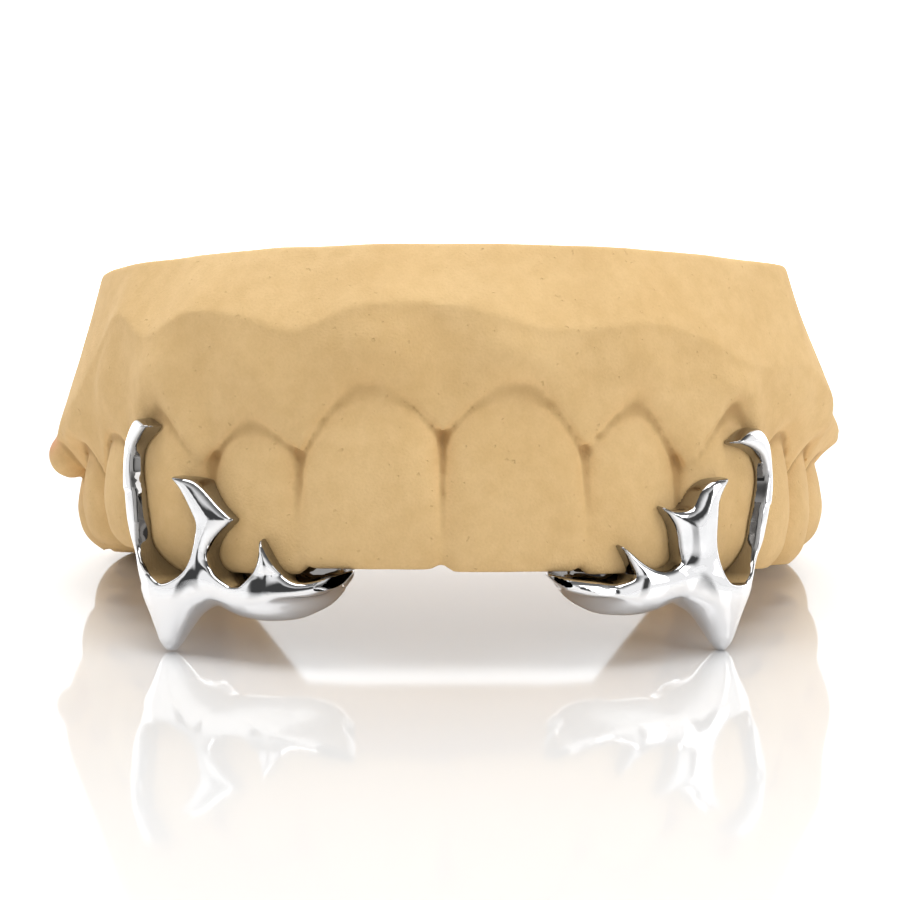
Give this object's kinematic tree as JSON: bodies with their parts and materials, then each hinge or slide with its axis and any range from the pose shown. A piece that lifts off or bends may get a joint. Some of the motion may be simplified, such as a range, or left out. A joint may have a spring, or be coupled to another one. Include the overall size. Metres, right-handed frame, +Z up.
{
  "type": "pair of vampire fang tooth caps on a dental stone cast",
  "caption": "Open-work silver caps with flame-shaped prongs and short fangs, worn over the canine and lateral teeth, shown fitted on a dental stone cast of an upper jaw.",
  "frame": {"origin": "middle of the bounding box on the floor the object stands on", "axes": "+X to the right of the front teeth as seen from in front, +Y from the front teeth to the back of the jaw, +Z up from the floor"},
  "size_m": [0.0608, 0.047, 0.0258],
  "materials": {
    "stone": "dry matt buff dental stone, fine-grained",
    "silver": "mirror-polished sterling silver"
  },
  "bodies": {
    "root": {"stone_cast": "stone", "fang_cap_left": "silver", "fang_cap_right": "silver"}
  },
  "joints": []
}
